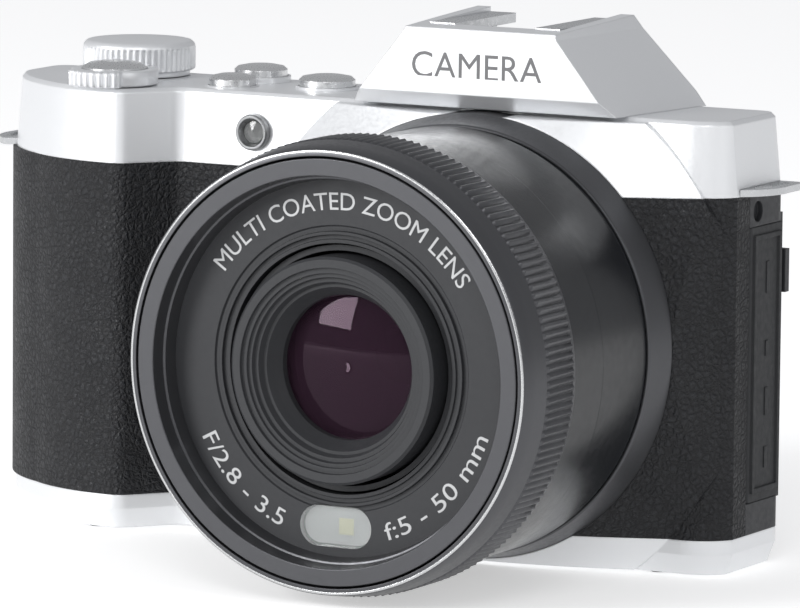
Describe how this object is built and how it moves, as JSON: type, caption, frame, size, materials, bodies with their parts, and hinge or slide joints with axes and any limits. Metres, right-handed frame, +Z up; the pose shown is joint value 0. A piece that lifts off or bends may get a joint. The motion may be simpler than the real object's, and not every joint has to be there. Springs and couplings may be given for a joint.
{
  "type": "compact digital camera",
  "caption": "Compact digital camera with a leather-covered grip, a wide zoom lens with a knurled ring, a raised hump with an accessory shoe, top controls and a flip-up screen.",
  "frame": {"origin": "mouth of the tripod socket in the middle of the base, on the lens's plane of symmetry", "axes": "+Z up, lens looks along -Y, hand grip at -X"},
  "size_m": [0.128, 0.0709, 0.077],
  "materials": {
    "silver": "satin silver paint",
    "leather": "pebbled",
    "black_shell": "fine texture",
    "black_gloss": "glossy",
    "lens_black": "dark anodised",
    "lens_matte": "matt",
    "polished": "polished",
    "steel": "bare",
    "brass": "bare",
    "glass": "coated",
    "clear": "clear",
    "screen": "glossy",
    "board": "solder mask",
    "cell": "wrapped",
    "card": "matt",
    "rubber": "matt",
    "frame_metal": "bare",
    "sensor": "glossy"
  },
  "bodies": {
    "camera": {"front_shell": "black_shell", "front_leather": "leather", "top_cover": "silver", "bottom_cover": "silver", "rear_shell": "black_shell", "hump_cover": "silver", "accessory_shoe": "steel", "shoe_insulator": "black_shell", "mount_ring": "lens_black", "lens_housing": "black_gloss", "lens_bezel": "lens_black", "lens_plate": "lens_matte", "led_window": "clear", "led_module": "board", "guide_cylinder": "lens_matte", "zoom_motor": "steel", "focus_rods": "steel", "lens_rear_plate": "frame_metal", "image_sensor": "sensor", "sensor_board": "board", "chassis_frame": "frame_metal", "main_board": "board", "battery": "cell", "door_pin": "steel", "memory_card": "card", "tripod_bush": "brass", "top_board": "board", "af_lamp_bezel": "lens_black", "af_lamp_lens": "clear", "strap_lug_left": "steel", "strap_lug_right": "steel", "port_sockets": "steel", "lcd_hinge": "steel", "rear_board": "board", "bottom_screws": "steel", "base_feet": "rubber"},
    "control_ring": {"control_ring": "lens_black"},
    "zoom_outer": {"zoom_barrel_outer": "lens_matte"},
    "zoom_inner": {"zoom_barrel_inner": "lens_matte", "front_lens": "glass", "shutter_unit": "lens_matte"},
    "cam_ring": {"zoom_cam_ring": "lens_matte"},
    "pinion": {"zoom_pinion": "brass"},
    "focus_group": {"focus_lens_group": "clear"},
    "shutter_button": {"shutter_button": "polished"},
    "zoom_lever": {"zoom_lever": "silver"},
    "mode_dial": {"mode_dial": "silver"},
    "power_button": {"power_button": "polished"},
    "record_button": {"record_button": "polished"},
    "function_button": {"function_button": "polished"},
    "ok_button": {"ok_button": "black_shell"},
    "menu_button": {"menu_button": "black_shell"},
    "play_button": {"play_button": "black_shell"},
    "delete_button": {"delete_button": "black_shell"},
    "four_way_pad": {"four_way_pad": "black_gloss"},
    "screen": {"lcd_housing": "black_shell", "lcd_glass": "screen"},
    "battery_door": {"battery_door": "silver"},
    "door_latch": {"door_latch": "black_shell"},
    "port_cover": {"port_cover": "rubber"}
  },
  "joints": [
    {"name": "control_ring_turn", "type": "hinge", "parent": "camera", "child": "control_ring", "pos_m": [0, -0.05, 0.03216], "axis": [0, 1, 0], "continuous": true},
    {"name": "zoom_extend", "type": "slide", "parent": "camera", "child": "zoom_outer", "axis": [0, -1, 0], "range_m": [0, 0.016]},
    {"name": "zoom_inner_extend", "type": "slide", "parent": "zoom_outer", "child": "zoom_inner", "axis": [0, -1, 0], "range_m": [0, 0.0144]},
    {"name": "cam_ring_turn", "type": "hinge", "parent": "camera", "child": "cam_ring", "pos_m": [0, -0.035, 0.03216], "axis": [0, 1, 0], "range_deg": [0, 40]},
    {"name": "pinion_turn", "type": "hinge", "parent": "camera", "child": "pinion", "pos_m": [0.01535, -0.022, 0.05032], "axis": [0, 1, 0], "range_deg": [-336, 0]},
    {"name": "focus_travel", "type": "slide", "parent": "camera", "child": "focus_group", "axis": [0, -1, 0], "range_m": [-0.002, 0.002]},
    {"name": "shutter_button_press", "type": "slide", "parent": "camera", "child": "shutter_button", "axis": [0, 0, -1], "range_m": [0, 0.001], "stiffness_N_per_m": 500, "springref_m": -0.001},
    {"name": "zoom_lever_turn", "type": "hinge", "parent": "camera", "child": "zoom_lever", "pos_m": [-0.061, -0.0112, 0.0655], "axis": [0, 0, 1], "range_deg": [-20, 20], "stiffness_Nm_per_rad": 0.03},
    {"name": "mode_dial_turn", "type": "hinge", "parent": "camera", "child": "mode_dial", "pos_m": [-0.0652, 0.0031, 0.067], "axis": [0, 0, 1], "continuous": true},
    {"name": "power_button_press", "type": "slide", "parent": "camera", "child": "power_button", "axis": [0, 0, -1], "range_m": [0, 0.0005], "stiffness_N_per_m": 600, "springref_m": -0.0006},
    {"name": "record_button_press", "type": "slide", "parent": "camera", "child": "record_button", "axis": [0, 0, -1], "range_m": [0, 0.0005], "stiffness_N_per_m": 600, "springref_m": -0.0006},
    {"name": "function_button_press", "type": "slide", "parent": "camera", "child": "function_button", "axis": [0, 0, -1], "range_m": [0, 0.0005], "stiffness_N_per_m": 600, "springref_m": -0.0006},
    {"name": "ok_button_press", "type": "slide", "parent": "camera", "child": "ok_button", "axis": [0, -1, 0], "range_m": [0, 0.0005], "stiffness_N_per_m": 600, "springref_m": -0.0006},
    {"name": "menu_button_press", "type": "slide", "parent": "camera", "child": "menu_button", "axis": [0, -1, 0], "range_m": [0, 0.0005], "stiffness_N_per_m": 600, "springref_m": -0.0006},
    {"name": "play_button_press", "type": "slide", "parent": "camera", "child": "play_button", "axis": [0, -1, 0], "range_m": [0, 0.0005], "stiffness_N_per_m": 600, "springref_m": -0.0006},
    {"name": "delete_button_press", "type": "slide", "parent": "camera", "child": "delete_button", "axis": [0, -1, 0], "range_m": [0, 0.0005], "stiffness_N_per_m": 600, "springref_m": -0.0006},
    {"name": "four_way_pad_press", "type": "slide", "parent": "camera", "child": "four_way_pad", "axis": [0, -1, 0], "range_m": [0, 0.0005], "stiffness_N_per_m": 600, "springref_m": -0.0006},
    {"name": "screen_tilt", "type": "hinge", "parent": "camera", "child": "screen", "pos_m": [0, 0.0116, 0.0511], "axis": [1, 0, 0], "range_deg": [0, 180]},
    {"name": "battery_door_hinge", "type": "hinge", "parent": "camera", "child": "battery_door", "pos_m": [-0.0748, 0, 0.001], "axis": [0, 1, 0], "range_deg": [0, 95]},
    {"name": "door_latch_slide", "type": "slide", "parent": "battery_door", "child": "door_latch", "axis": [1, 0, 0], "range_m": [-0.002, 0]},
    {"name": "port_cover_hinge", "type": "hinge", "parent": "camera", "child": "port_cover", "pos_m": [0.0366, -0.0011, 0.029], "axis": [0, 0, -1], "range_deg": [0, 85]}
  ],
  "couplings": [
    {"joint": "zoom_inner_extend", "follows": "zoom_extend", "ratio": 0.9},
    {"joint": "cam_ring_turn", "follows": "zoom_extend", "rad_per_m": 43},
    {"joint": "pinion_turn", "follows": "zoom_extend", "rad_per_m": -361.2}
  ]
}
